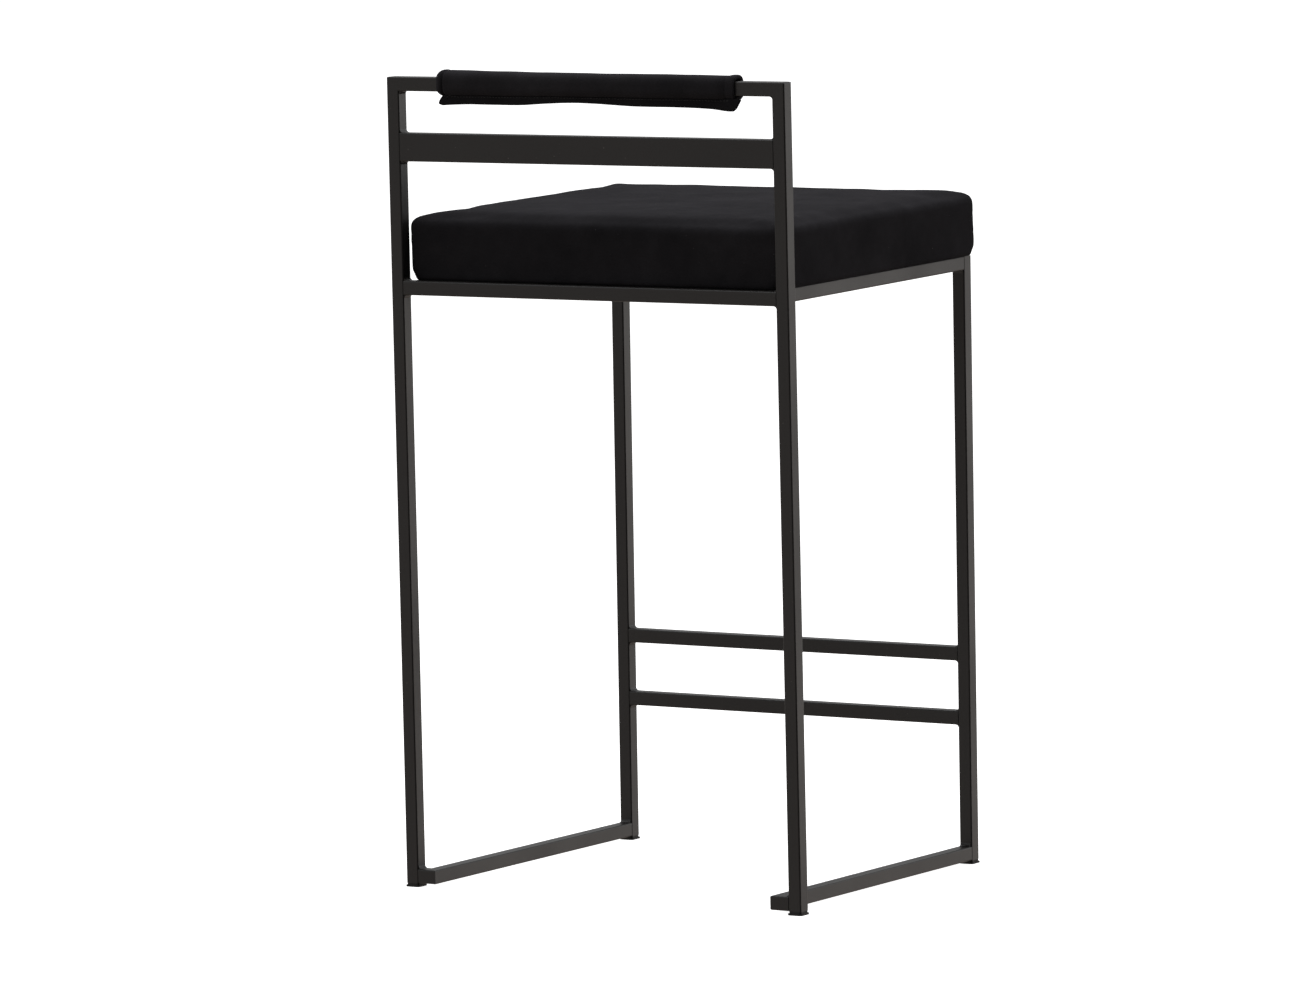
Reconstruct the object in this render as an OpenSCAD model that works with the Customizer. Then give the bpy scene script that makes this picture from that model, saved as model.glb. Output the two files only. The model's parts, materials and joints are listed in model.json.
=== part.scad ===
// Bar stool with a footrest: a welded frame of square steel tube, an upholstered
// box seat screwed to four tabs, and a padded sleeve on the back's top bar.
// +Z is up, the front faces -Y, and the sitter's right is -X. The origin is on
// the floor, in the middle of the whole stool's plan.

/* [Frame] */
// Height of the top bar above the floor
overall_h = 860; // [800:1:950]
// Width over the two back posts
back_w = 492; // [470:1:540]
// Width over the two front legs
front_w = 448; // [400:1:460]
// Depth from the back posts' back faces to the front legs' front faces
depth = 405; // [370:1:430]
// Side of the square tube
tube = 15; // [14:0.5:18]
// Wall of the square tube
wall = 1.2; // [1:0.1:2]
// Height of the back seat rail's top face
seat_h = 645; // [600:1:680]
// Rise of the seat frame from its back to its front
seat_rise = 7; // [0:0.5:10]
// How much further back the front legs stand on the floor than at the seat
foot_back = 6.4; // [0:0.1:10]

/* [Back] */
// Height of the flat slat's lower face above the floor
slat_z = 771; // [745:1:790]
// Height of the flat slat's section
slat_h = 30; // [20:1:30]

/* [Footrest] */
// Height of the upper footrest bar's lower face above the floor
upper_bar_z = 218; // [200:1:260]
// Height of the lower footrest bar's lower face above the floor
lower_bar_z = 149; // [120:1:170]

/* [Cushion] */
// Width of the seat cushion
cushion_w = 456; // [440:1:470]
// Distance from the posts' back faces to the cushion's back face
cushion_back = 12; // [8:0.5:14]
// How far the cushion stands out past the front legs
cushion_front = 3; // [0:0.5:5]
// Height of the seat cushion, with its board
cushion_h = 66; // [55:1:75]
// Thickness of the seat board
board_t = 12; // [9:1:15]

/* [Back sleeve] */
// Length of the padded sleeve
sleeve_l = 374; // [300:1:420]
// How far the sleeve sits off centre, towards the sitter's right
sleeve_shift = 4; // [0:1:20]
// Outer height and thickness of the sleeve
sleeve_w = 28; // [24:1:34]
// Drop of the sewn hem below the sleeve
hem_drop = 10; // [6:1:14]

/* [Glides] */
// Height of a glide's head below the tube
glide_h = 4; // [3:0.5:6]
// How far a glide's flange stands out past the tube
glide_out = 1.2; // [0:0.1:2]

/* [Hidden] */
$fn = 48;

steel = "#2c2929";
velvet = "#121214";
black_plastic = "#161616";
zinc = "#a9abad";
plywood = "#b48d5d";
foam_grey = "#c9c6bd";
lining = "#1d1d1f";

big = 1000;
tube_r = 1.5;             // outer radius of the tube's long edges
mitre_r = 2.4;            // the ground outer corners of the top bar
sleeve_pad = (sleeve_w - tube) / 2;
y_back = (depth + cushion_front + sleeve_pad) / 2 - sleeve_pad; // the posts' back faces
seat_slope = atan(seat_rise / depth);
lean = atan(foot_back / seat_h);
front_top = seat_h + seat_rise - tube * (tan(seat_slope) + sin(lean));
post_in = back_w / 2 - tube;    // a back post's inner face
rail_out = front_w / 2;         // the outer face of a side rail and a front leg
rail_in = rail_out - tube;

weld_r = 4;               // radius of a weld's hollow face
weld_leg = 3.5;           // leg of a weld
weld_w = tube - 2 * tube_r;

cover_t = 1.5;            // velvet and its backing
turn_in_t = 1.2;          // the cover's edge under the board
turn_in = 30;             // how far that edge reaches in
board_gap = 5.5;          // foam around the board's edge
cushion_d = depth + cushion_front - cushion_back;
edge_r = 10;              // the cushion's upright edges
top_r = 10;               // its top edges
low_r = 5;                // its bottom edges

tab = 30;                 // side of a seat tab
tab_t = 3;
tab_hole = 15;            // from a tab's corner to its hole
screw_r = 2.95;
clear_r = 3.3;
screw_l = 17;
head_r = 5.5;
head_h = 3;
washer_r = 7;
washer_t = 1.2;
barrel_r = 3.9;           // a tee nut's barrel
barrel_h = 9;
flange_r = 9.5;           // a tee nut's flange
flange_t = 1.5;

staple_w = 10;
staple_t = 0.6;
staple_leg = 7;
staples_a_side = 6;
staple_pitch = 50;
staple_in = 6;            // from a rail's inner face to the row of staples

cuff = 4;                 // the sleeve's cover past its padding at each end
sleeve_r = 10;
sleeve_skin = 1.5;
hem_t = 2.4;
hem_v = 3;                // from the bar's back face to the hem
hem_in = 4;               // from the sleeve's end to the hem's end

// ---- helpers ----

// A rectangle with round corners, from its lower left corner.
module round_rect(w, h, r) {
    translate([r, 0]) square([w - 2 * r, h]);
    translate([0, r]) square([w, h - 2 * r]);
    for (x = [r, w - r], y = [r, h - r]) translate([x, y]) circle(r);
}

// A length of rectangular tube along +Z, from one corner of its section.
module tube_z(l, w, d) {
    linear_extrude(l) difference() {
        round_rect(w, d, tube_r);
        translate([wall, wall]) square([w - 2 * wall, d - 2 * wall]);
    }
}

// The same along +X, with its height h along Z, standing on z = 0 with its back at y = 0.
module tube_x(l, h) {
    rotate([90, 0, 90]) translate([-tube, 0]) tube_z(l, tube, h);
}

// The same along -Y, from y = 0, with its outer side at x = 0 and its top at z = 0.
module tube_y(l) {
    translate([-tube, 0, -tube]) rotate([90, 0, 0]) tube_z(l, tube, tube);
}

// An outline in X and Z, made thick through the whole depth.
module slab_xz(points) {
    translate([0, big / 2, 0]) rotate([90, 0, 0]) linear_extrude(big) polygon(points);
}

// Mirrors the sitter's left side (+X) to the right side.
module side(name) {
    mirror([name == "right" ? 1 : 0, 0, 0]) children();
}

// The frame of the back: y = 0 at the posts' back faces, depth along -Y.
module at_back() {
    translate([0, y_back, 0]) children();
}

// The plane of the seat frame's top: z = 0 on it, y = 0 at the posts' back faces.
module on_seat() {
    translate([0, y_back, seat_h]) rotate([-seat_slope, 0, 0]) children();
}

// The plane of the front legs: y = 0 at their back faces, z = 0 at their tops.
module on_front() {
    translate([0, y_back - depth, front_top]) rotate([lean, 0, 0])
        translate([0, tube, 0]) children();
}

// Everything behind the front legs' back faces.
module behind_front() {
    on_front() translate([-big / 2, 0, -big]) cube(big * 2);
}

// A weld in the corner of +X and +Z, along -Y through the tube's flat width.
module weld() {
    translate([0, -tube_r, 0]) rotate([90, 0, 0]) linear_extrude(weld_w) difference() {
        square(weld_leg);
        translate([weld_r, weld_r]) circle(weld_r);
    }
}

// The same weld turned upright, in the corner of +X and -Y, its top end at z = 0.
module weld_upright() {
    rotate([90, 0, 0]) weld();
}

// The two welds above and below the end of a bar, at its joint with an upright on the left.
module weld_pair(x, z, h) {
    translate([x, 0, z + h]) weld();
    translate([x, 0, z]) mirror([0, 0, 1]) weld();
}

// A pattern of the four seat screws on the seat plane.
module at_screws() {
    for (sx = [-1, 1], v = [tube + tab_hole, depth - tube - tab_hole])
        translate([sx * (rail_in - tab_hole), -v, 0]) children();
}

// ---- back frame ----

module back_post() {
    color(steel) at_back() difference() {
        intersection() {
            translate([post_in, -tube, glide_h]) tube_z(overall_h - glide_h, tube, tube);
            slab_xz([[0, 0], [back_w, 0], [back_w, overall_h - tube + back_w / 2 + tube],
                [back_w / 2 - tube, overall_h - tube], [0, overall_h - tube]]);
        }
        top_corner();
    }
}

// What is ground off the outer corner where a post meets the top bar.
module top_corner() {
    translate([back_w / 2 - mitre_r, tube, overall_h - mitre_r]) rotate([90, 0, 0])
        linear_extrude(3 * tube) difference() {
            square(2 * mitre_r);
            circle(mitre_r);
        }
}

module top_bar() {
    color(steel) at_back() difference() {
        intersection() {
            translate([-back_w / 2, 0, overall_h - tube]) tube_x(back_w, tube);
            slab_xz([[-back_w / 2, overall_h], [back_w / 2, overall_h],
                [post_in, overall_h - tube], [-post_in, overall_h - tube]]);
        }
        top_corner();
        mirror([1, 0, 0]) top_corner();
    }
}

module back_slat() {
    color(steel) at_back() translate([-post_in, 0, slat_z]) tube_x(2 * post_in, slat_h);
}

module seat_rail_back() {
    color(steel) at_back() translate([-post_in, 0, seat_h - tube]) tube_x(2 * post_in, tube);
}

module back_welds() {
    color(steel) at_back() for (m = [0, 1]) mirror([m, 0, 0]) {
        translate([-post_in, 0, overall_h - tube]) mirror([0, 0, 1]) weld();
        weld_pair(-post_in, slat_z, slat_h);
        weld_pair(-post_in, seat_h - tube, tube);
    }
}

// ---- front frame ----

module front_leg() {
    color(steel) intersection() {
        on_front() intersection() {
            translate([rail_in, -tube, -front_top - tube]) tube_z(front_top + tube, tube, tube);
            slab_xz([[0, -big], [front_w, -big], [front_w, rail_out],
                [rail_in, -tube], [0, -tube]]);
        }
        translate([0, -big / 2, glide_h]) cube(big);
    }
}

module seat_rail_front() {
    color(steel) on_front() intersection() {
        translate([-rail_out, 0, -tube]) tube_x(front_w, tube);
        slab_xz([[-rail_out, 0], [rail_out, 0], [rail_in, -tube], [-rail_in, -tube]]);
    }
}

module footrest_bar(z) {
    color(steel) on_front() translate([-rail_in, 0, z - front_top]) tube_x(2 * rail_in, tube);
}

module front_welds() {
    color(steel) on_front() for (m = [0, 1]) mirror([m, 0, 0]) {
        translate([-rail_in, 0, -tube]) mirror([0, 0, 1]) weld();
        weld_pair(-rail_in, upper_bar_z - front_top, tube);
        weld_pair(-rail_in, lower_bar_z - front_top, tube);
    }
}

// ---- side frames ----

module seat_rail() {
    color(steel) intersection() {
        on_seat() translate([rail_out, 0, 0]) tube_y(depth);
        behind_front();
        at_back() translate([0, -tube - big, 0]) cube(big);
    }
}

module seat_welds() {
    color(steel) for (m = [0, 1]) mirror([m, 0, 0]) {
        // on both sides of the rail's back end
        at_back() translate([rail_in, -tube, seat_h]) mirror([1, 0, 0]) weld_upright();
        at_back() translate([rail_out, -tube, seat_h]) weld_upright();
        // under the rail's front end
        on_front() translate([rail_in, 0, -tube]) rotate([0, 0, 90]) mirror([0, 0, 1]) weld();
    }
}

module floor_rail() {
    color(steel) intersection() {
        at_back() difference() {
            translate([rail_out, 0, glide_h + tube]) tube_y(depth);
            translate([rail_in, 0, 0]) linear_extrude(big)
                polygon([[-tube, 1], [0, 0], [2 * tube, -2 * tube], [2 * tube, 1]]);
        }
        behind_front();
    }
}

module floor_stub() {
    color(steel) at_back() intersection() {
        translate([rail_in, 0, glide_h]) tube_x(post_in - rail_in, tube);
        linear_extrude(big) translate([rail_in, 0])
            polygon([[0, 0], [back_w, 0], [back_w, -tube], [tube, -tube]]);
    }
}

module floor_welds() {
    color(steel) for (m = [0, 1]) mirror([m, 0, 0]) {
        at_back() translate([post_in, 0, glide_h + tube]) mirror([1, 0, 0]) weld();
        at_back() translate([rail_out, -tube, glide_h + tube]) weld_upright();
        on_front() translate([rail_in, 0, glide_h + tube - front_top]) rotate([0, 0, 90]) weld();
    }
}

// ---- glides ----

module glide(y) {
    flange = tube + 2 * glide_out;
    plug = tube - 2 * wall - 0.6;
    flange_h = glide_h * 0.45;
    color(black_plastic) translate([0, y, 0]) {
        translate([-flange / 2, -flange / 2, 0]) linear_extrude(flange_h) round_rect(flange, flange, 3);
        translate([-tube / 2, -tube / 2, flange_h - 0.01]) linear_extrude(glide_h - flange_h + 0.01)
            round_rect(tube, tube, 2.5);
        translate([-plug / 2, -plug / 2, glide_h - 0.01]) linear_extrude(plug) square(plug);
    }
}

module glide_back() {
    translate([back_w / 2 - tube / 2, 0, 0]) glide(y_back - tube / 2);
}

module glide_front() {
    foot_y = y_back - depth + tube / 2 + (front_top - glide_h) * tan(lean);
    translate([rail_out - tube / 2, 0, 0]) glide(foot_y);
}

// ---- seat fastening ----

// A tab, with its right angle at the origin and its screw hole.
module tab_plate(chamfer) {
    difference() {
        linear_extrude(tab_t)
            polygon([[0, 0], [0, -tab], [chamfer - tab, -tab], [-tab, chamfer - tab], [-tab, 0]]);
        translate([-tab_hole, -tab_hole, -1]) cylinder(tab_t + 2, r = clear_r);
    }
}

module seat_tabs() {
    chamfer = tab * 0.4;
    color(steel) intersection() {
        on_seat() for (m = [0, 1], front = [0, 1]) mirror([m, 0, 0])
            translate([rail_in, front ? tube - depth : -tube, -tab_t])
                mirror([0, front, 0]) tab_plate(chamfer);
        behind_front();
    }
}

module seat_washers() {
    color(zinc) on_seat() at_screws() translate([0, 0, -tab_t - washer_t]) difference() {
        cylinder(washer_t, r = washer_r);
        translate([0, 0, -1]) cylinder(washer_t + 2, r = clear_r);
    }
}

module seat_screws() {
    socket = 4;
    color(zinc) on_seat() at_screws() translate([0, 0, -tab_t - washer_t]) {
        cylinder(screw_l, r = screw_r);
        translate([0, 0, -head_h]) difference() {
            cylinder(head_h, r1 = head_r - 1.2, r2 = head_r);
            translate([0, 0, -1]) cylinder(3, d = socket, $fn = 6);
        }
    }
}

module tee_nuts() {
    top = turn_in_t + board_t;
    color(zinc) on_seat() at_screws() difference() {
        union() {
            translate([0, 0, top - barrel_h]) cylinder(barrel_h, r = barrel_r);
            translate([0, 0, top]) cylinder(flange_t, r = flange_r);
        }
        translate([0, 0, -1]) cylinder(big, r = screw_r + 0.05);
    }
}

// ---- seat cushion ----

// A block with round upright, top and bottom edges, standing on z = 0 with its back at y = 0.
module soft_block(w, d, h, upright, top, low) {
    intersection() {
        translate([-w / 2, -d, 0]) linear_extrude(h) round_rect(w, d, upright);
        rotate([90, 0, 0]) linear_extrude(d) loaf(w, h, top, low);
        translate([-w / 2, -d / 2, 0]) rotate([90, 0, 90]) linear_extrude(w) loaf(d, h, top, low);
    }
}

// The block's section: round at its top and bottom corners.
module loaf(w, h, top, low) {
    translate([-w / 2, low]) square([w, h - low - top]);
    translate([-w / 2 + low, 0]) square([w - 2 * low, low]);
    translate([-w / 2 + top, h - top]) square([w - 2 * top, top]);
    for (s = [-1, 1]) {
        translate([s * (w / 2 - low), low]) circle(low);
        translate([s * (w / 2 - top), h - top]) circle(top);
    }
}

// The space inside the cover.
module cover_inside() {
    on_seat() translate([0, -cushion_back - cover_t, turn_in_t])
        soft_block(cushion_w - 2 * cover_t, cushion_d - 2 * cover_t,
            cushion_h - turn_in_t - cover_t, edge_r - cover_t, top_r - cover_t, low_r - cover_t);
}

// The board's own shape, before its holes.
module board_blank() {
    inset = cover_t + board_gap;
    on_seat() translate([inset - cushion_w / 2, inset - cushion_d - cushion_back, turn_in_t])
        linear_extrude(board_t)
            round_rect(cushion_w - 2 * inset, cushion_d - 2 * inset, edge_r - inset);
}

module seat_board() {
    color(plywood) difference() {
        board_blank();
        on_seat() at_screws() {
            cylinder(big, r = clear_r);
            translate([0, 0, turn_in_t + board_t - barrel_h]) cylinder(big, r = barrel_r);
        }
        staples();
    }
}

module seat_foam() {
    color(foam_grey) difference() {
        cover_inside();
        board_blank();
        on_seat() at_screws() translate([0, 0, turn_in_t + board_t - 1])
            cylinder(flange_t + 1, r = flange_r);
        on_seat() at_screws() cylinder(turn_in_t + board_t + flange_t + 2, r = screw_r + 0.05);
    }
}

// The plan inside the cover's turned-in edge.
module turn_in_plan(grow) {
    w = cushion_w - 2 * turn_in + 2 * grow;
    d = cushion_d - 2 * turn_in + 2 * grow;
    translate([-w / 2, -cushion_back - turn_in - d + grow]) square([w, d]);
}

module seat_cover() {
    color(velvet) difference() {
        on_seat() translate([0, -cushion_back, 0])
            soft_block(cushion_w, cushion_d, cushion_h, edge_r, top_r, low_r);
        cover_inside();
        on_seat() translate([0, 0, -1]) linear_extrude(turn_in_t + 2) turn_in_plan(0);
        on_seat() at_screws() translate([0, 0, -1]) cylinder(turn_in_t + 2, r = clear_r);
        staples();
    }
}

module seat_dust_cover() {
    color(lining) difference() {
        on_seat() translate([0, 0, turn_in_t / 2]) linear_extrude(turn_in_t / 2) turn_in_plan(-0.3);
        on_seat() at_screws() translate([0, 0, -1]) cylinder(turn_in_t + 2, r = clear_r);
    }
}

// One staple along X, its crown under the turned-in edge and its legs up in the board.
module staple() {
    translate([-staple_w / 2, -staple_t, -staple_t]) cube([staple_w, 2 * staple_t, staple_t]);
    for (x = [-staple_w / 2, staple_w / 2 - staple_t])
        translate([x, -staple_t, -0.01]) cube([staple_t, 2 * staple_t, staple_leg]);
}

module staples() {
    mid = depth / 2;
    half_d = mid - tube - staple_in;
    for (i = [0 : staples_a_side - 1], s = [-1, 1]) {
        at = (i - (staples_a_side - 1) / 2) * staple_pitch;
        on_seat() translate([at, -mid + s * half_d, 0]) staple();
        on_seat() translate([s * (rail_in - staple_in), -mid + at, 0]) rotate([0, 0, 90]) staple();
    }
}

module seat_staples() {
    color(zinc) staples();
}

// ---- back sleeve ----

// A square tube of padding round the top bar, with a hole of side hole_w.
module sleeve(l, w, r, hole_w, hole_r) {
    at_back() translate([-sleeve_shift - l / 2, -tube / 2, overall_h - tube / 2])
        rotate([90, 0, 90]) linear_extrude(l) difference() {
            translate([-w / 2, -w / 2]) round_rect(w, w, r);
            translate([-hole_w / 2, -hole_w / 2]) round_rect(hole_w, hole_w, hole_r);
        }
}

module back_sleeve_foam() {
    inner = sleeve_w - 2 * sleeve_skin;
    color(foam_grey) sleeve(sleeve_l - 2 * cuff, inner, sleeve_r - sleeve_skin, tube, tube_r);
}

module back_sleeve_cover() {
    inner = sleeve_w - 2 * sleeve_skin;
    color(velvet) sleeve(sleeve_l, sleeve_w, sleeve_r, inner, sleeve_r - sleeve_skin);
}

module back_sleeve_hem() {
    l = sleeve_l - 2 * hem_in;
    color(velvet) at_back()
        translate([-sleeve_shift - l / 2, -hem_v - hem_t, overall_h - tube - sleeve_pad - hem_drop])
            cube([l, hem_t, hem_drop]);
}

side("left") back_post();  // back_post_left
side("right") back_post();  // back_post_right
top_bar();
back_slat();
seat_rail_back();
seat_rail_front();
side("left") seat_rail();  // seat_rail_left
side("right") seat_rail();  // seat_rail_right
side("left") front_leg();  // front_leg_left
side("right") front_leg();  // front_leg_right
footrest_bar(upper_bar_z);  // footrest_bar_upper
footrest_bar(lower_bar_z);  // footrest_bar_lower
side("left") floor_rail();  // floor_rail_left
side("right") floor_rail();  // floor_rail_right
side("left") floor_stub();  // floor_stub_left
side("right") floor_stub();  // floor_stub_right
back_welds();
front_welds();
seat_welds();
floor_welds();
side("left") glide_back();  // glide_back_left
side("right") glide_back();  // glide_back_right
side("left") glide_front();  // glide_front_left
side("right") glide_front();  // glide_front_right
seat_tabs();
seat_screws();
seat_washers();
tee_nuts();
seat_board();
seat_foam();
seat_cover();
seat_dust_cover();
seat_staples();
back_sleeve_foam();
back_sleeve_cover();
back_sleeve_hem();
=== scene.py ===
"""The looks of the bar stool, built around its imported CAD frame. Metres, +Z up, the front faces -Y."""

import json
import math

import bmesh
import bpy
from mathutils import Matrix, Vector, noise


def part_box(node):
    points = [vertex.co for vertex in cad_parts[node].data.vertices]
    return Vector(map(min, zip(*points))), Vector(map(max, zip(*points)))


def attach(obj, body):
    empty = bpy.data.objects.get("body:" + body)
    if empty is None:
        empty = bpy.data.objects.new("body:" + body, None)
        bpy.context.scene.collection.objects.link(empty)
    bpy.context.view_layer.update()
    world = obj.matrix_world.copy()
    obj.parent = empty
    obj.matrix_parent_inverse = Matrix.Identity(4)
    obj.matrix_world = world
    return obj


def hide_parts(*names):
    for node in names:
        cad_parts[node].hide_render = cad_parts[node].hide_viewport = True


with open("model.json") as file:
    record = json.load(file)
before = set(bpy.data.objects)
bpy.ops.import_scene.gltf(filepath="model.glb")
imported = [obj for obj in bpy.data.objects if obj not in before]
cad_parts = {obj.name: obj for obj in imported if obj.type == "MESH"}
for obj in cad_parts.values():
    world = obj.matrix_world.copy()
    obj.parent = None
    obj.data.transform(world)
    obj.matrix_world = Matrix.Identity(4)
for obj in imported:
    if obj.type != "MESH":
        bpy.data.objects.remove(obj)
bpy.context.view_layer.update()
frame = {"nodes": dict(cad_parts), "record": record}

MM = 0.001

# ---- places taken from the frame ----

POST_LOW, POST_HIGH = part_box("back_post_left")
BACK_Y = POST_HIGH.y                      # the back faces of the two back posts
TUBE = POST_HIGH.y - POST_LOW.y           # side of the square tube
BAR_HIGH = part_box("top_bar")[1]
SLEEVE_LOW, SLEEVE_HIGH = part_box("back_sleeve_cover")
COVER_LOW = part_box("seat_cover")[0]
RAIL_LOW, RAIL_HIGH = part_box("seat_rail_left")
BACK_RAIL_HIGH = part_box("seat_rail_back")[1]

# The seat frame's top rises to the front: its slope along -Y.
SEAT_SLOPE = math.atan2(RAIL_HIGH.z - BACK_RAIL_HIGH.z, BACK_Y - RAIL_LOW.y)

# ---- the camera and the studio ----

CAMERA_AZIMUTH = 212.83                   # degrees; 0 looks along +Y
CAMERA_ELEVATION = 6.005
CAMERA_ROLL = -1.279
CAMERA_DISTANCE = 9.095
CAMERA_LENS = 234.03
SENSOR = 36.0
TARGET_X = 0.0486
TARGET_BEHIND = -0.2020                   # from the posts' back faces, towards the front
TARGET_Z = 0.4071

OVERHEAD_PLACE = (0.1, -0.3, 3.2)
OVERHEAD_AIM = (0, -0.1, 0.4)
OVERHEAD_SIDE = 3.4
OVERHEAD_POWER = 62
BACKDROP = 1.05                           # how bright the surroundings look
FLOOR_GLOW = 0.96                         # and the floor
SWEEP_FRONT = 0.86                        # light off the white sweep in front of the stool
SWEEP_ROUND = 0.67                        # and off the rest of it
SWEEP_FOOT = 0.70                         # the share of that light from low on the sweep
SWEEP_WARM = (1.0, 0.87, 0.78)            # and its colour there
ROOM_LOW = 0.07                           # light from just above the horizon
ROOM_HIGH = 0.6                           # and from higher up
DARK_SIDE = (-0.8, 0.6, 0.05)             # the unlit end of the room, beside the camera
SOFT_BOX = (-0.593, -0.791, 0.15)         # a soft box beyond the stool, just over the sweep's edge
SOFT_BOX_GLOW = 1.0


def camera():
    azimuth = math.radians(CAMERA_AZIMUTH)
    elevation = math.radians(CAMERA_ELEVATION)
    roll = math.radians(CAMERA_ROLL)
    towards = Vector((math.sin(azimuth) * math.cos(elevation),
                      -math.cos(azimuth) * math.cos(elevation),
                      math.sin(elevation)))
    level = (-towards).cross(Vector((0, 0, 1))).normalized()
    upright = towards.cross(level)
    right = level * math.cos(roll) + upright * math.sin(roll)
    up = upright * math.cos(roll) - level * math.sin(roll)
    place = Vector((TARGET_X, BACK_Y + TARGET_BEHIND, TARGET_Z)) + towards * CAMERA_DISTANCE
    data = bpy.data.cameras.new("camera")
    data.sensor_width = SENSOR
    data.lens = CAMERA_LENS
    data.clip_end = 60.0
    holder = bpy.data.objects.new("camera", data)
    axes = Matrix((right, up, towards)).transposed()
    holder.matrix_world = Matrix.Translation(place) @ axes.to_4x4()
    bpy.context.scene.collection.objects.link(holder)
    bpy.context.scene.camera = holder


def overhead_light():
    data = bpy.data.lights.new("overhead", "AREA")
    data.shape = "RECTANGLE"
    data.size = data.size_y = OVERHEAD_SIDE
    data.energy = OVERHEAD_POWER
    holder = bpy.data.objects.new("overhead", data)
    holder.location = OVERHEAD_PLACE
    aim = Vector(OVERHEAD_AIM) - Vector(OVERHEAD_PLACE)
    holder.rotation_euler = aim.to_track_quat("-Z", "Y").to_euler()
    bpy.context.scene.collection.objects.link(holder)


def ranged(nodes, links, value, low, high, start, end):
    """The value, from low to high, eased to start to end."""
    node = nodes.new("ShaderNodeMapRange")
    node.interpolation_type = "SMOOTHSTEP"
    for name, number in (("From Min", low), ("From Max", high), ("To Min", start), ("To Max", end)):
        node.inputs[name].default_value = number
    links.new(value, node.inputs["Value"])
    return node.outputs["Result"]


def maths(nodes, links, operation, *values):
    """A math node fed with numbers or with other nodes' outputs."""
    node = nodes.new("ShaderNodeMath")
    node.operation = operation
    for socket, value in zip(node.inputs, values):
        if isinstance(value, (int, float)):
            socket.default_value = value
        else:
            links.new(value, socket)
    return node.outputs[0]


def nearness(nodes, links, direction, target):
    """How nearly a direction points at the target: 1 at it, 0 square to it."""
    node = nodes.new("ShaderNodeVectorMath")
    node.operation = "DOT_PRODUCT"
    node.inputs[1].default_value = target
    links.new(direction, node.inputs[0])
    return node.outputs["Value"]


def studio():
    """A white sweep under a darker room, a soft box beyond the stool and a broad light overhead."""
    overhead_light()
    world = bpy.data.worlds.new("studio")
    world.use_nodes = True
    nodes, links = world.node_tree.nodes, world.node_tree.links
    direction = nodes.new("ShaderNodeTexCoord").outputs["Generated"]
    parts = nodes.new("ShaderNodeSeparateXYZ")
    links.new(direction, parts.inputs[0])
    back, up = parts.outputs["Y"], parts.outputs["Z"]

    horizon = nodes.new("ShaderNodeMix")
    links.new(ranged(nodes, links, up, -0.03, 0.01, 0, 1), horizon.inputs["Factor"])
    links.new(ranged(nodes, links, back, -0.85, -0.45, SWEEP_FRONT, SWEEP_ROUND), horizon.inputs["A"])
    links.new(ranged(nodes, links, up, 0.04, 0.25, ROOM_LOW, ROOM_HIGH), horizon.inputs["B"])
    dark = nearness(nodes, links, direction, DARK_SIDE)
    boxed = nearness(nodes, links, direction, SOFT_BOX)
    glow = maths(nodes, links, "MULTIPLY", horizon.outputs["Result"],
                 ranged(nodes, links, dark, 0.35, 0.85, 1, 0.05))
    glow = maths(nodes, links, "MULTIPLY", glow, ranged(nodes, links, up, -0.2, -0.06, SWEEP_FOOT, 1))
    glow = maths(nodes, links, "ADD", glow, ranged(nodes, links, boxed, 0.9, 0.99, 0, SOFT_BOX_GLOW))

    ambient = nodes["Background"]
    warmth = ranged(nodes, links, up, -0.18, -0.03, 1, 0)
    links.new(mix_colour(nodes, links, warmth, (1.0, 1.0, 1.0), SWEEP_WARM), ambient.inputs["Color"])
    links.new(glow, ambient.inputs["Strength"])
    backdrop = nodes.new("ShaderNodeBackground")
    backdrop.inputs["Color"].default_value = (1.0, 1.0, 1.0, 1.0)
    backdrop.inputs["Strength"].default_value = BACKDROP
    mix = nodes.new("ShaderNodeMixShader")
    links.new(nodes.new("ShaderNodeLightPath").outputs["Is Camera Ray"], mix.inputs["Fac"])
    links.new(ambient.outputs[0], mix.inputs[1])
    links.new(backdrop.outputs[0], mix.inputs[2])
    links.new(mix.outputs[0], nodes["World Output"].inputs["Surface"])
    bpy.context.scene.world = world
    bpy.context.scene.view_settings.view_transform = "Standard"


def floor():
    """A plain floor that is seen and shaded, but lets the light from the sweep below it through."""
    mesh = bpy.data.meshes.new("floor")
    half = 14.0
    mesh.from_pydata([(-half, -half, 0), (half, -half, 0), (half, half, 0), (-half, half, 0)],
                     [], [(0, 1, 2, 3)])
    plane = bpy.data.objects.new("floor", mesh)
    bpy.context.scene.collection.objects.link(plane)
    plane.data.materials.append(floor_paint())
    plane.visible_diffuse = plane.visible_glossy = plane.visible_shadow = False


# ---- material building ----

def new_material(name):
    material = bpy.data.materials.new(name)
    material.use_nodes = True
    nodes = material.node_tree.nodes
    return material, nodes, material.node_tree.links, nodes["Principled BSDF"]


def object_place(nodes):
    """The surface's own place, which doesn't move with the view."""
    return nodes.new("ShaderNodeTexCoord").outputs["Object"]


def noise_node(nodes, links, place, scale, detail=3.0, rough=0.5):
    node = nodes.new("ShaderNodeTexNoise")
    node.inputs["Scale"].default_value = scale
    node.inputs["Detail"].default_value = detail
    node.inputs["Roughness"].default_value = rough
    links.new(place, node.inputs["Vector"])
    return node.outputs["Fac"]


def ramp(nodes, links, value, stops):
    """Colours along a value: stops is [(place, (r, g, b)), ...]."""
    node = nodes.new("ShaderNodeValToRGB")
    line = node.color_ramp
    line.elements[0].position, line.elements[0].color = stops[0][0], (*stops[0][1], 1)
    line.elements[1].position, line.elements[1].color = stops[-1][0], (*stops[-1][1], 1)
    for place, colour in stops[1:-1]:
        line.elements.new(place).color = (*colour, 1)
    links.new(value, node.inputs["Fac"])
    return node.outputs["Color"]


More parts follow.
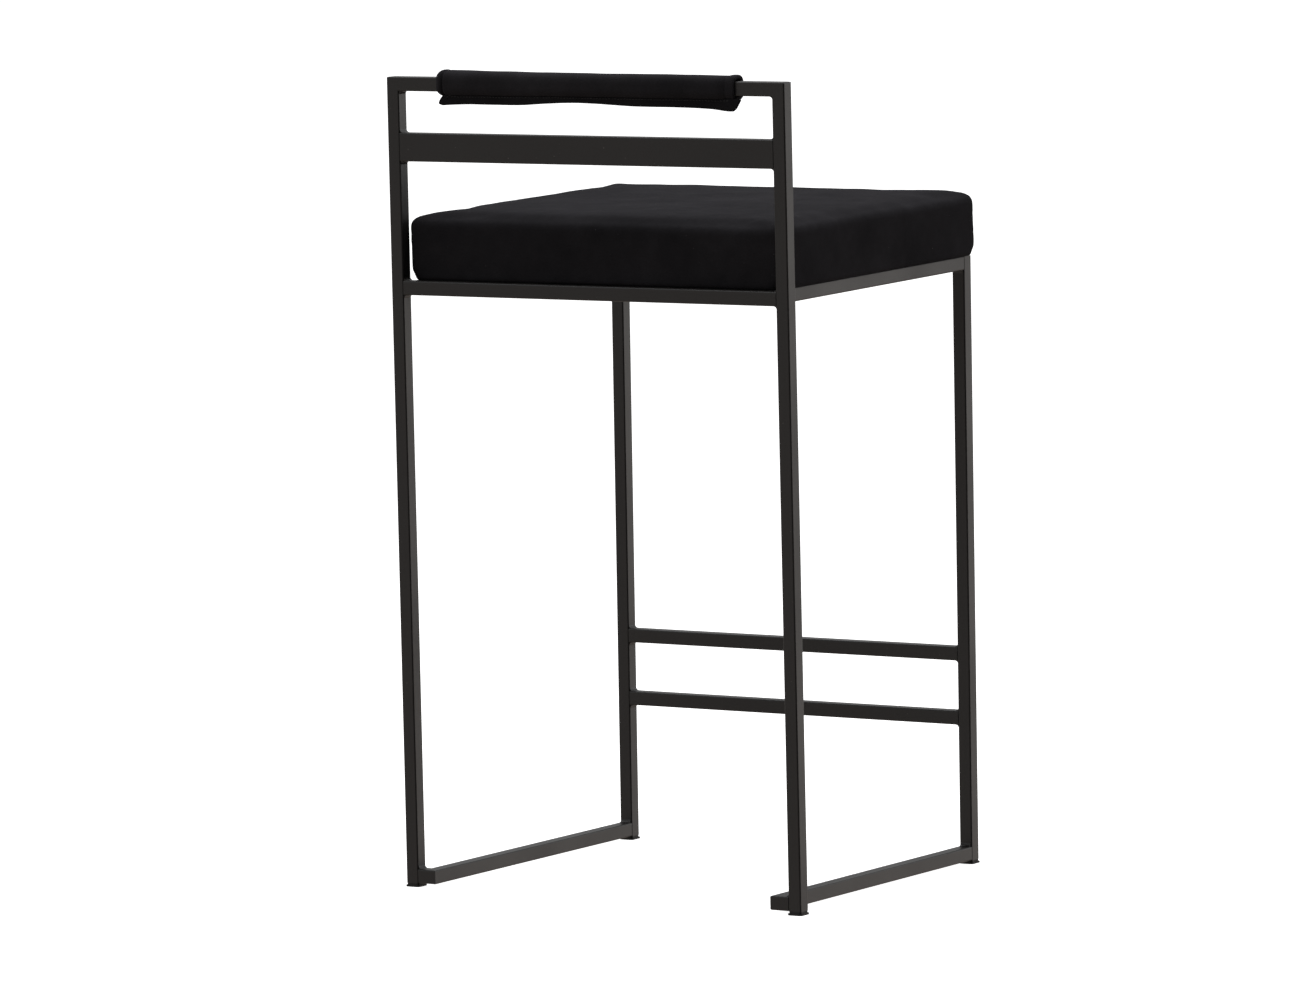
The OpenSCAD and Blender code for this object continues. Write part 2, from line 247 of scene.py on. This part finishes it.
def spread(nodes, links, value, low, high):
    """The value, from 0.3 to 0.7, mapped to low to high."""
    node = nodes.new("ShaderNodeMapRange")
    node.inputs["From Min"].default_value = 0.3
    node.inputs["From Max"].default_value = 0.7
    node.inputs["To Min"].default_value = low
    node.inputs["To Max"].default_value = high
    links.new(value, node.inputs["Value"])
    return node.outputs["Result"]


def bump(nodes, links, height, strength, distance, normal=None):
    node = nodes.new("ShaderNodeBump")
    node.inputs["Strength"].default_value = strength
    node.inputs["Distance"].default_value = distance
    links.new(height, node.inputs["Height"])
    if normal is not None:
        links.new(normal, node.inputs["Normal"])
    return node.outputs["Normal"]


def mix_colour(nodes, links, factor, first, second):
    node = nodes.new("ShaderNodeMix")
    node.data_type = "RGBA"
    links.new(factor, node.inputs["Factor"])
    for socket, value in ((node.inputs[6], first), (node.inputs[7], second)):
        if isinstance(value, tuple):
            socket.default_value = (*value, 1)
        else:
            links.new(value, socket)
    return node.outputs[2]


def specks(nodes, links, place, scale, start, under, over):
    """The under colour, with small specks of the other where fine noise peaks."""
    mark = nodes.new("ShaderNodeMapRange")
    mark.inputs["From Min"].default_value = start
    mark.inputs["From Max"].default_value = start + 0.04
    links.new(noise_node(nodes, links, place, scale, 1.0), mark.inputs["Value"])
    return mix_colour(nodes, links, mark.outputs["Result"], under, over)


def floor_paint():
    """A white floor lit from below, as a light table is, so that shadows on it stay faint."""
    material, nodes, links, shader = new_material("pale_floor")
    shader.inputs["Base Color"].default_value = (0.7, 0.7, 0.7, 1)
    shader.inputs["Roughness"].default_value = 0.9
    shader.inputs["Specular IOR Level"].default_value = 0.0
    shader.inputs["Emission Color"].default_value = (1, 1, 1, 1)
    shader.inputs["Emission Strength"].default_value = FLOOR_GLOW
    return material


def powder_coat():
    """Satin charcoal powder coat: a fine orange peel, cloudy gloss and a few pale specks."""
    material, nodes, links, shader = new_material("powder_coat")
    place = object_place(nodes)
    cloud = noise_node(nodes, links, place, 9.0, 4.0)
    colour = ramp(nodes, links, cloud, [(0.3, (0.0125, 0.0115, 0.0114)), (0.7, (0.0175, 0.0162, 0.0160))])
    colour = specks(nodes, links, place, 420.0, 0.79, colour, (0.11, 0.105, 0.1))
    links.new(colour, shader.inputs["Base Color"])
    links.new(spread(nodes, links, cloud, 0.34, 0.44), shader.inputs["Roughness"])
    peel = noise_node(nodes, links, place, 900.0, 2.0)
    links.new(bump(nodes, links, peel, 0.28, 0.00012), shader.inputs["Normal"])
    return material


def velvet(name="black_velvet", shade=1.0):
    """Short black pile: nap patches, a fine fibre grain, specks of lint and a bluish sheen at the edges."""
    material, nodes, links, shader = new_material(name)
    place = object_place(nodes)
    patch = noise_node(nodes, links, place, 11.0, 4.0, 0.55)
    brushed = noise_node(nodes, links, place, 46.0, 3.0, 0.6)
    nap = maths(nodes, links, "MULTIPLY_ADD", brushed, 0.35, maths(nodes, links, "MULTIPLY", patch, 0.65))
    tones = [(0.34, (0.0128, 0.0122, 0.0138)), (0.5, (0.0166, 0.0157, 0.0176)),
             (0.66, (0.0214, 0.0204, 0.0228))]
    colour = ramp(nodes, links, nap, [(at, tuple(shade * part for part in tone)) for at, tone in tones])
    colour = specks(nodes, links, place, 330.0, 0.80, colour, (0.09, 0.09, 0.095))
    links.new(colour, shader.inputs["Base Color"])
    shader.inputs["Roughness"].default_value = 0.95
    shader.inputs["Specular IOR Level"].default_value = 0.05
    shader.inputs["Sheen Weight"].default_value = 0.018
    shader.inputs["Sheen Roughness"].default_value = 0.42
    shader.inputs["Sheen Tint"].default_value = (0.60, 0.60, 0.80, 1)
    fibre = noise_node(nodes, links, place, 1500.0, 2.0, 0.6)
    tuft = noise_node(nodes, links, place, 260.0, 3.0, 0.6)
    rough = bump(nodes, links, fibre, 0.35, 0.0003)
    links.new(bump(nodes, links, tuft, 0.25, 0.0006, rough), shader.inputs["Normal"])
    return material


def thread():
    """Waxed black sewing thread with a fine twist."""
    material, nodes, links, shader = new_material("sewing_thread")
    place = object_place(nodes)
    twist = noise_node(nodes, links, place, 3000.0, 1.0)
    links.new(ramp(nodes, links, twist, [(0.3, (0.010, 0.010, 0.011)), (0.7, (0.030, 0.029, 0.031))]),
              shader.inputs["Base Color"])
    shader.inputs["Roughness"].default_value = 0.5
    links.new(bump(nodes, links, twist, 0.4, 0.0001), shader.inputs["Normal"])
    return material


def foam():
    """Dark grey open-cell foam."""
    material, nodes, links, shader = new_material("open_cell_foam")
    place = object_place(nodes)
    cell = nodes.new("ShaderNodeTexVoronoi")
    cell.inputs["Scale"].default_value = 1400.0
    links.new(place, cell.inputs["Vector"])
    links.new(ramp(nodes, links, cell.outputs["Distance"],
                   [(0.1, (0.012, 0.012, 0.012)), (0.6, (0.045, 0.044, 0.043))]),
              shader.inputs["Base Color"])
    shader.inputs["Roughness"].default_value = 0.95
    links.new(bump(nodes, links, cell.outputs["Distance"], 0.6, 0.0004), shader.inputs["Normal"])
    return material


def moulded_plastic():
    """Matte black plastic, scuffed unevenly."""
    material, nodes, links, shader = new_material("glide_plastic")
    place = object_place(nodes)
    wear = noise_node(nodes, links, place, 160.0, 4.0)
    links.new(ramp(nodes, links, wear, [(0.35, (0.008, 0.008, 0.008)), (0.7, (0.016, 0.0155, 0.015))]),
              shader.inputs["Base Color"])
    links.new(spread(nodes, links, wear, 0.5, 0.68), shader.inputs["Roughness"])
    grain = noise_node(nodes, links, place, 2200.0, 2.0)
    links.new(bump(nodes, links, grain, 0.3, 0.0001), shader.inputs["Normal"])
    return material


def zinc():
    """Zinc plate with its dull spangle."""
    material, nodes, links, shader = new_material("zinc_plate")
    place = object_place(nodes)
    flake = noise_node(nodes, links, place, 240.0, 5.0, 0.65)
    links.new(ramp(nodes, links, flake, [(0.3, (0.40, 0.41, 0.43)), (0.7, (0.58, 0.58, 0.57))]),
              shader.inputs["Base Color"])
    shader.inputs["Metallic"].default_value = 1.0
    links.new(spread(nodes, links, flake, 0.26, 0.45), shader.inputs["Roughness"])
    return material


def plywood():
    """Raw plywood, its grain along X and its layers along Z."""
    material, nodes, links, shader = new_material("plywood")
    place = object_place(nodes)
    stretch = nodes.new("ShaderNodeMapping")
    stretch.inputs["Scale"].default_value = (4.0, 90.0, 700.0)
    links.new(place, stretch.inputs["Vector"])
    grain = noise_node(nodes, links, stretch.outputs["Vector"], 1.0, 4.0)
    links.new(ramp(nodes, links, grain, [(0.3, (0.30, 0.17, 0.08)), (0.7, (0.52, 0.35, 0.19))]),
              shader.inputs["Base Color"])
    links.new(spread(nodes, links, grain, 0.6, 0.8), shader.inputs["Roughness"])
    return material


def lining_cloth():
    """Thin black non-woven felt, with the dimples that bond its fibres."""
    material, nodes, links, shader = new_material("lining_cloth")
    place = object_place(nodes)
    dimple = nodes.new("ShaderNodeTexVoronoi")
    dimple.inputs["Scale"].default_value = 520.0
    dimple.inputs["Randomness"].default_value = 0.25
    links.new(place, dimple.inputs["Vector"])
    fibre = noise_node(nodes, links, place, 700.0, 4.0, 0.7)
    links.new(ramp(nodes, links, fibre, [(0.3, (0.010, 0.010, 0.011)), (0.7, (0.022, 0.022, 0.024))]),
              shader.inputs["Base Color"])
    shader.inputs["Roughness"].default_value = 0.92
    links.new(bump(nodes, links, dimple.outputs["Distance"], 0.5, 0.0003), shader.inputs["Normal"])
    return material


# ---- pieces ----

def seat_point(x, v, w):
    """A point on the seat: x across, v forwards from the posts' back faces, w above the frame's top."""
    along = Vector((0, -math.cos(SEAT_SLOPE), math.sin(SEAT_SLOPE)))
    above = Vector((0, math.sin(SEAT_SLOPE), math.cos(SEAT_SLOPE)))
    return Vector((x, BACK_Y, BACK_RAIL_HIGH.z)) + along * v + above * w


def wave(point, scale, seed):
    """Smooth noise from -1 to 1, the same on each run."""
    return noise.noise(Vector(point) * scale + Vector((seed, 2.3 * seed, 5.1 * seed)))


def smooth_step(low, high, value):
    t = min(1.0, max(0.0, (value - low) / (high - low)))
    return t * t * (3 - 2 * t)


def thicken(piece, thickness):
    """Gives a single layer its thickness, half of it to each side."""
    thick = piece.modifiers.new("thick", "SOLIDIFY")
    thick.thickness = thickness
    thick.offset = 0
    apply_modifiers(piece)


def add_piece(name, mesh, material, replaced=()):
    piece = bpy.data.objects.new(name, mesh)
    bpy.context.scene.collection.objects.link(piece)
    dress_piece(piece, material, replaced)
    return piece


def dress_piece(piece, material, replaced=()):
    piece.data.materials.clear()
    piece.data.materials.append(material)
    piece.data.shade_smooth()
    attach(piece, "root")
    if replaced:
        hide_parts(*replaced)


def apply_modifiers(piece):
    bpy.context.view_layer.update()
    evaluated = piece.evaluated_get(bpy.context.evaluated_depsgraph_get())
    mesh = bpy.data.meshes.new_from_object(evaluated)
    piece.modifiers.clear()
    piece.data = mesh


def paint_frame():
    finishes = {
        "frame_steel": powder_coat(), "glide_plastic": moulded_plastic(), "zinc_steel": zinc(),
        "plywood": plywood(), "lining": lining_cloth(), "velvet": VELVET, "foam": VELVET,
    }
    for part in frame["record"]["subparts"]:
        node = frame["nodes"][part["node"]]
        node.data.materials.clear()
        node.data.materials.append(finishes[part["material_slot"]])


# ---- seat cushion ----

CUSHION_BACK = 11.8 * MM                  # its back face, from the posts' back faces
CUSHION_HALF = 230.5 * MM                 # half its width before it swells
CUSHION_CROWN = 72.0 * MM                 # its height at the middle of the top
CUSHION_BLOCK = 68.5 * MM                 # the height of the block that swells
CORNER = 10.0 * MM                        # where its upright edges and top edges start to turn
LOW_ROUND = 3.0 * MM                      # where the cover turns in under the board
CORNER_SQUARE = 3.0                       # 2 is a round upright edge, more is squarer
TUCK = 5.0 * MM                           # how far the bottom corners are folded in
CELL = 8.0 * MM
CLOTH_FRAMES = 20
CLOTH_PRESSURE = 4.0
SIDE_CAP = 2.2 * MM                       # how far its sides may bulge
TOP_CAP = 5.0 * MM                        # and its top


def cell_lines(half, edges):
    """Grid lines from -half to half: even between the given steps in from each end."""
    inner = half - edges[-1]
    count = max(2, round(2 * inner / CELL))
    return ([-half] + [edge - half for edge in edges[:-1]]
            + [-inner + 2 * inner * i / count for i in range(count + 1)]
            + [half - edge for edge in reversed(edges[:-1])] + [half])


def soft_corner(point, half, high):
    """Moves a point of a plain block's surface to where the block's rounded form has it."""
    inset = min(half.x - abs(point.x), half.y - abs(point.y))
    for radius, rise, up in ((CORNER, point.z - (high - CORNER), 1), (LOW_ROUND, LOW_ROUND - point.z, -1)):
        if inset < radius and rise > 0:
            turn = Vector((radius - inset, rise))
            turn *= max(turn) / turn.length
            inset = radius - turn.x
            point.z += up * (turn.y - rise)
            break
    core = Vector((max(CORNER - half.x, min(half.x - CORNER, point.x)),
                   max(CORNER - half.y, min(half.y - CORNER, point.y)), 0))
    out = Vector((point.x, point.y, 0)) - core
    if inset >= CORNER or out.length == 0:
        return point
    size = (abs(out.x) ** CORNER_SQUARE + abs(out.y) ** CORNER_SQUARE) ** (1 / CORNER_SQUARE)
    flat = core + out * ((CORNER - inset) / size)
    return Vector((flat.x, flat.y, point.z))


def cushion_block(half_x, half_y, high):
    """A closed block of even cells standing on w = 0, its edges and corners rounded."""
    plan, rise = (2.5 * MM, 6 * MM, CORNER), (3 * MM, 7 * MM, CORNER)
    lines = (cell_lines(half_x, plan), cell_lines(half_y, plan), cell_lines(high / 2, rise))
    last = [len(line) - 1 for line in lines]
    half = Vector((half_x, half_y, high / 2))
    index, vertices, faces = {}, [], []

    def at(i, j, k):
        if (i, j, k) not in index:
            index[(i, j, k)] = len(vertices)
            point = Vector((lines[0][i], lines[1][j], lines[2][k] + high / 2))
            vertices.append(soft_corner(point, half, high))
        return index[(i, j, k)]

    for axis in range(3):
        a, b = [other for other in range(3) if other != axis]
        for level in (0, last[axis]):
            for m in range(last[a]):
                for n in range(last[b]):
                    ring = []
                    for dm, dn in ((0, 0), (1, 0), (1, 1), (0, 1)):
                        place = [0, 0, 0]
                        place[axis], place[a], place[b] = level, m + dm, n + dn
                        ring.append(at(*place))
                    faces.append(ring if (level == 0) == (axis == 1) else ring[::-1])
    mesh = bpy.data.meshes.new("seat_cushion")
    mesh.from_pydata(vertices, [], faces)
    piece = bpy.data.objects.new("seat_cushion", mesh)
    bpy.context.scene.collection.objects.link(piece)
    return piece


def swell(piece, pinned):
    """Fills the piece like a cushion by cloth simulation, holding still the points that pinned() names."""
    scene = bpy.context.scene
    before = [vertex.co.copy() for vertex in piece.data.vertices]
    held = piece.vertex_groups.new(name="held")
    held.add([i for i, point in enumerate(before) if pinned(point)], 1.0, "REPLACE")
    cloth = piece.modifiers.new("cloth", "CLOTH")
    cloth.settings.quality = 4
    cloth.settings.mass = 0.3
    cloth.settings.use_pressure = True
    cloth.settings.uniform_pressure_force = CLOTH_PRESSURE
    cloth.settings.vertex_group_mass = held.name
    cloth.settings.effector_weights.gravity = 0
    cloth.point_cache.frame_start = 1
    cloth.point_cache.frame_end = CLOTH_FRAMES
    for step in range(1, CLOTH_FRAMES + 1):
        scene.frame_set(step)
    apply_modifiers(piece)
    for start, vertex in zip(before, piece.data.vertices):
        move = vertex.co - start
        flat = Vector((move.x, move.y, 0))
        flat *= SIDE_CAP / (SIDE_CAP + flat.length)
        if flat.dot(Vector((start.x, start.y, 0))) < 0:
            flat *= 0.2
        vertex.co = start + flat + Vector((0, 0, move.z * TOP_CAP / (TOP_CAP + abs(move.z))))
    piece.vertex_groups.clear()
    scene.frame_set(1)


def fit_cushion(piece):
    """Lifts the swollen block's top to the cushion's real crown."""
    top = max(vertex.co.z for vertex in piece.data.vertices)
    for vertex in piece.data.vertices:
        vertex.co.z = max(0.0, vertex.co.z) * CUSHION_CROWN / top


def crease_cushion(piece, depth):
    """Soft hollows in the cover, folds at its corners, and the pulls of its staples under the board."""
    normals = [vertex.normal.copy() for vertex in piece.data.vertices]
    for vertex, normal in zip(piece.data.vertices, normals):
        point = vertex.co
        side = 1.0 - abs(normal.z)
        lift = smooth_step(2 * MM, 14 * MM, point.z)
        broad = wave(point, 13.0, 1.0) * (0.8 - 0.45 * side) * MM
        soft = wave(point, 34.0, 2.0) * (0.4 - 0.2 * side) * MM
        pull = wave((point.x, point.y, 0), 62.0, 3.0) * 0.4 * MM * side
        pull *= 1 - smooth_step(8 * MM, 26 * MM, point.z)
        to_corner = max(CUSHION_HALF - abs(point.x), depth / 2 - abs(point.y))
        drag = wave((point.x, point.y, 2.4 * point.z), 70.0, 4.0) * 0.35 * MM
        drag *= math.exp(-to_corner / (30 * MM)) * side
        tuck = TUCK * math.exp(-(to_corner / (9 * MM)) ** 2) * (1 - smooth_step(0.0, 13 * MM, point.z))
        inward = Vector((-math.copysign(tuck, point.x), -math.copysign(tuck, point.y), 0)) * 0.7
        vertex.co = point + normal * ((broad + soft + drag) * lift + pull) + inward


def seat_cushion():
    depth = BACK_Y - COVER_LOW.y - 1.5 * MM - CUSHION_BACK
    piece = cushion_block(CUSHION_HALF, depth / 2, CUSHION_BLOCK)
    swell(piece, lambda point: point.z < 4 * MM)
    fit_cushion(piece)
    finer = piece.modifiers.new("finer", "SUBSURF")
    finer.levels = finer.render_levels = 1
    apply_modifiers(piece)
    crease_cushion(piece, depth)
    for vertex in piece.data.vertices:
        point = vertex.co
        v = CUSHION_BACK + depth / 2 - point.y
        rest = 0.65 * MM * (1 - smooth_step(15 * MM, 30 * MM, v)) * (1 - smooth_step(0.0, 8 * MM, point.z))
        vertex.co = seat_point(point.x, v, max(0.0, point.z) - rest)
    dress_piece(piece, VELVET, ("seat_cover", "seat_foam"))


# ---- back sleeve ----

BAR_MIDDLE = Vector((0, BACK_Y - TUBE / 2, BAR_HIGH.z - TUBE / 2))
SLEEVE_LEFT = SLEEVE_HIGH.x - 2.0 * MM    # its end towards the sitter's left
SLEEVE_RIGHT = SLEEVE_LOW.x + 5.2 * MM    # its open end
SLEEVE_SLANT = 2.8 * MM                   # how much shorter its front is there
SLEEVE_UNDER = 10.9 * MM                  # from the bar's middle down to the seam
SLEEVE_HALF = 12.8 * MM                   # in front of and behind the bar's middle
SLEEVE_SQUARE = 3.2                       # how square its section is
FABRIC = 1.5 * MM                         # thickness of the velvet with its backing
ROLL = 8.8 * MM                           # the rolled hem that closes its left end
ROLL_IN = 4.6 * MM                        # how much that hem draws in at its end
CUFF = 9.0 * MM                           # the hem of its open end
CUFF_CLOSE = 2.9 * MM                     # how much closer the hem lies to the bar's back face
LIP = 1.6 * MM                            # the radius of the hem's rounded edge
LIP_IN = 8.0 * MM                         # how far the hem reaches in again
FIN_AT = 7.5 * MM                         # the fin, behind the bar's middle
FIN_HALF = 0.9 * MM                       # from its middle to each of its two layers
FIN_ROWS = 12
STITCH = 2.6 * MM                         # length of a stitch
STITCH_PITCH = 3.7 * MM
THREAD = 0.28 * MM                        # radius of the thread
PAD_HALF = 10.3 * MM                      # the foam strip, in front of and behind the bar's middle
PAD_TALL = 10.0 * MM                      # and above and below it
PAD_THICK = 2.4 * MM
PAD_IN = (13.0 * MM, 12.0 * MM)           # how far its ends lie inside the open end and the other

# The fin's lower edge: (share of the sleeve's length from its left end, mm below the bar's middle).
FIN_EDGE = [(-0.04, 21.8), (0.0, 21.2), (0.04, 20.4), (0.10, 19.8), (0.27, 19.8), (0.35, 18.1),
            (0.45, 16.6), (0.53, 17.1), (0.66, 19.2), (0.83, 19.5), (0.93, 20.7), (0.98, 22.7),
            (1.0, 22.7), (1.04, 22.0)]
# Its ends: (how far down it, mm in from the sleeve's own end).
FIN_LEFT = [(-0.1, 6.5), (0.0, 7.0), (0.3, 7.2), (0.55, 4.2), (0.8, 2.2), (0.92, 2.4), (1.0, 4.6),
            (1.1, 8.0)]
FIN_RIGHT = [(-0.1, -9.2), (0.0, -8.7), (0.5, -4.9), (0.8, -2.4), (0.92, -0.9), (1.0, 1.7), (1.1, 5.3)]


def curve_through(points, at):
    """A smooth curve through the listed heights, read at one place between the second and last but one."""
    for (x0, y0), (x1, y1), (x2, y2), (x3, y3) in zip(points, points[1:], points[2:], points[3:]):
        if at <= x2:
            t = (at - x1) / (x2 - x1)
            m1, m2 = (y2 - y0) / (x2 - x0) * (x2 - x1), (y3 - y1) / (x3 - x1) * (x2 - x1)
            return ((2 * t ** 3 - 3 * t ** 2 + 1) * y1 + (t ** 3 - 2 * t ** 2 + t) * m1
                    + (3 * t ** 2 - 2 * t ** 3) * y2 + (t ** 3 - t ** 2) * m2)
    return points[-2][1]


def sleeve_reach(angle, share, along, length):
    """How far the cloth stands from the bar's middle at one place round the sleeve."""
    c, s = math.cos(angle), math.sin(angle)
    top = (12.5 + 1.9 * math.exp(-along / 0.28)) * MM
    tall = top if s > 0 else SLEEVE_UNDER
    from_left, from_right = share, length - share
    wide = SLEEVE_HALF - (CUFF_CLOSE * smooth_step(20 * MM, 4 * MM, from_right) if c > 0 else 0)
    reach = (abs(c / wide) ** SLEEVE_SQUARE + abs(s / tall) ** SLEEVE_SQUARE) ** (-1 / SLEEVE_SQUARE)
    reach -= ROLL_IN * (1 - math.sqrt(max(0.0, 1 - max(0.0, 1 - from_left / ROLL) ** 2)))
    reach -= 2.5 * MM * math.exp(-((from_left - ROLL) / (1.1 * MM)) ** 2)
    reach += 0.8 * MM * math.exp(-((from_left - 0.6 * ROLL) / (2.5 * MM)) ** 2)
    reach -= 0.6 * MM * math.exp(-((from_right - CUFF) / (1.3 * MM)) ** 2)
    reach += (0.9 - 0.6 * max(0.0, c)) * MM * smooth_step(CUFF, 3 * MM, from_right)
    place = (share, c * 0.016, s * 0.016)
    free = smooth_step(0.0, 0.04, along) * smooth_step(1.0, 0.96, along)
    reach += wave(place, 20.0, 6.0) * 0.40 * MM * (0.4 + 0.6 * free)
    reach += wave(place, 90.0, 7.0) * 0.40 * MM * smooth_step(0.3, -0.9, s)
    return reach + wave(place, 48.0, 8.0) * 0.2 * MM * free


def back_sleeve():
    """Velvet wrapped round the bar, its two edges turned down and sewn together as a fin below."""
    length = SLEEVE_LEFT - SLEEVE_RIGHT
    stations, steps = 200, 72
    vertices, stitch_line = [], []
    for i in range(stations + 1):
        t = i / stations
        along = t - 0.08 * math.sin(2 * math.pi * t)
        share = along * length
        drop = curve_through(FIN_EDGE, along) * MM
        sway = wave((share, 0, 0), 16.0, 9.0) * 1.2 * MM + wave((share, 0, 0), 50.0, 10.0) * 0.4 * MM
        loop = []
        first = math.atan2(-SLEEVE_UNDER, FIN_AT + FIN_HALF)
        last = math.atan2(-SLEEVE_UNDER, FIN_AT - FIN_HALF) + 2 * math.pi
        for k in range(steps + 1):
            angle = first + (last - first) * k / steps
            reach = sleeve_reach(angle, share, along, length)
            loop.append((math.cos(angle) * reach, math.sin(angle) * reach, 0))
        neck = (loop[0][1] + loop[-1][1]) / 2
        down = [(k + 1) / FIN_ROWS for k in range(FIN_ROWS)]
        for side, rows in ((-1, down), (1, down[-2::-1])):
            for row in rows:
                back = FIN_AT + side * FIN_HALF * (0.75 + 0.25 * row) + sway * row
                loop.append((back, neck - (drop + neck) * row, row))
        for back, up, row in loop:
            if row:                       # row is 0 round the bar and more than 0 down the fin
                start, end = curve_through(FIN_LEFT, row) * MM, curve_through(FIN_RIGHT, row) * MM
            else:
                start, end = 0.0, SLEEVE_SLANT * (SLEEVE_HALF - back) / (2 * SLEEVE_HALF)
            x = (SLEEVE_LEFT - start) + (SLEEVE_RIGHT + end - SLEEVE_LEFT + start) * along
            vertices.append(BAR_MIDDLE + Vector((x, back, up)))
        count = len(loop)
        stitch_line.append(vertices[-1] + Vector((0, FABRIC / 2, -1.2 * MM)))
    faces = []
    for i in range(stations):
        for j in range(count):
            a, b = i * count + j, i * count + (j + 1) % count
            faces.append((a, b, b + count, a + count))
    # The hem of the open end turns inwards round its lip, as far as the bar leaves room.
    before = stations * count
    rim = vertices[before:before + steps + 1]
    turns = [math.pi * k / 6 for k in range(1, 7)]
    path = [(LIP * math.sin(turn), LIP * (1 - math.cos(turn))) for turn in turns]
    path += [(-LIP_IN / 2, 2 * LIP), (-LIP_IN, 2 * LIP)]
    for out, inward in path:
        ring = len(vertices)
        for place in rim:
            radial = Vector((0, place.y - BAR_MIDDLE.y, place.z - BAR_MIDDLE.z))
            room = radial.length * (1 - TUBE / 2 / max(map(abs, radial))) - 0.9 * MM
            fit = max(0.0, min(1.0, room / (2 * LIP)))
            vertices.append(place - Vector((out * fit, 0, 0)) - radial.normalized() * inward * fit)
        faces += [(before + k, before + k + 1, ring + k + 1, ring + k) for k in range(steps)]
        before = ring
    mesh = bpy.data.meshes.new("back_sleeve")
    mesh.from_pydata(vertices, [], faces)
    # The sleeve's velvet is a lighter copy of the cushion's: painted light, for the brighter light the
    # sleeve catches.
    piece = add_piece("back_sleeve", mesh, velvet("black_velvet_sleeve_painted_light", 1.3),
                      ("back_sleeve_cover", "back_sleeve_hem"))
    # The fin's velvet is a darker copy: painted shade under the overhang of the sleeve's body.
    mesh.materials.append(velvet("black_velvet_fin_painted_shade", 0.85))
    for face in mesh.polygons:
        face.material_index = int(face.index < stations * count and face.index % count >= steps)
    thicken(piece, FABRIC)
    sleeve_stitches(stitch_line)


def sleeve_stitches(line):
    """A row of short thread stitches along the fin, just under the seam."""
    shape = bmesh.new()
    walked = 0.0
    for start, end in zip(line, line[1:]):
        step = (end - start).length
        place = walked % STITCH_PITCH
        if place + step >= STITCH_PITCH and 8 * MM < start.x - SLEEVE_RIGHT:
            middle = start + (end - start) * ((STITCH_PITCH - place) / step)
            turn = (end - start).to_track_quat("Z", "Y").to_matrix().to_4x4()
            where = Matrix.Translation(middle) @ turn @ Matrix.Diagonal((THREAD, THREAD, STITCH / 2, 1))
            bmesh.ops.create_uvsphere(shape, u_segments=8, v_segments=6, radius=1.0, matrix=where)
        walked += step
    mesh = bpy.data.meshes.new("back_sleeve_stitches")
    shape.to_mesh(mesh)
    shape.free()
    add_piece("back_sleeve_stitches", mesh, thread())


def sleeve_pad():
    """The foam strip round the bar inside the sleeve, seen in its open end."""
    vertices, faces = [], []
    stations, steps = 60, 40
    low, high = SLEEVE_RIGHT + PAD_IN[0], SLEEVE_LEFT - PAD_IN[1]
    for i in range(stations + 1):
        x = low + (high - low) * i / stations
        for k in range(steps):
            angle = 2 * math.pi * k / steps
            c, s = math.cos(angle), math.sin(angle)
            reach = PAD_HALF * (abs(c) ** 4 + abs(s) ** 4) ** (-0.25)
            reach += wave((x, c * 0.01, s * 0.01), 60.0, 12.0) * 0.3 * MM
            up = max(-PAD_TALL, min(PAD_TALL, s * reach))
            vertices.append(BAR_MIDDLE + Vector((x, c * reach, up)))
    for i in range(stations):
        for k in range(steps):
            a, b = i * steps + k, i * steps + (k + 1) % steps
            faces.append((a, b, b + steps, a + steps))
    mesh = bpy.data.meshes.new("back_sleeve_pad")
    mesh.from_pydata(vertices, [], faces)
    piece = add_piece("back_sleeve_pad", mesh, foam(), ("back_sleeve_foam",))
    thicken(piece, PAD_THICK)


# ---- lining under the seat ----

LINING_HALF = 206 * MM                    # half its width
LINING_BACK, LINING_FRONT = 19 * MM, 386 * MM    # its ends, from the posts' back faces
TAB_HALF = 176 * MM                       # half its width between the seat's tabs
TAB_DEEP = 29 * MM                        # how far the tabs' corners reach into it
LINING_SAG = 2.2 * MM
LINING_THICK = 0.4 * MM


def seat_lining():
    """Thin black felt stretched under the board and stapled with the cover, sagging a little."""
    back, front = LINING_BACK, LINING_FRONT
    columns, rows = 68, 60
    vertices, faces = [], []
    for j in range(rows + 1):
        v = back + (front - back) * j / rows
        half = LINING_HALF if min(v - back, front - v) > TAB_DEEP else TAB_HALF
        for i in range(columns + 1):
            x = half * (2 * i / columns - 1)
            inside = (1 - (x / half) ** 2) * (1 - ((v - (back + front) / 2) / ((front - back) / 2)) ** 2)
            ripple = wave((x, v, 0), 24.0, 11.0) * 0.35 * MM * smooth_step(0.0, 0.25, inside)
            vertices.append(seat_point(x, v, -0.35 * MM - LINING_SAG * max(0.0, inside) - abs(ripple)))
    for j in range(rows):
        for i in range(columns):
            a = j * (columns + 1) + i
            faces.append((a, a + 1, a + columns + 2, a + columns + 1))
    mesh = bpy.data.meshes.new("seat_lining")
    mesh.from_pydata(vertices, [], faces)
    piece = add_piece("seat_lining", mesh, lining_cloth(), ("seat_dust_cover",))
    thicken(piece, LINING_THICK)


VELVET = velvet(shade=1.07)
camera()
studio()
floor()
paint_frame()
seat_cushion()
back_sleeve()
sleeve_pad()
seat_lining()
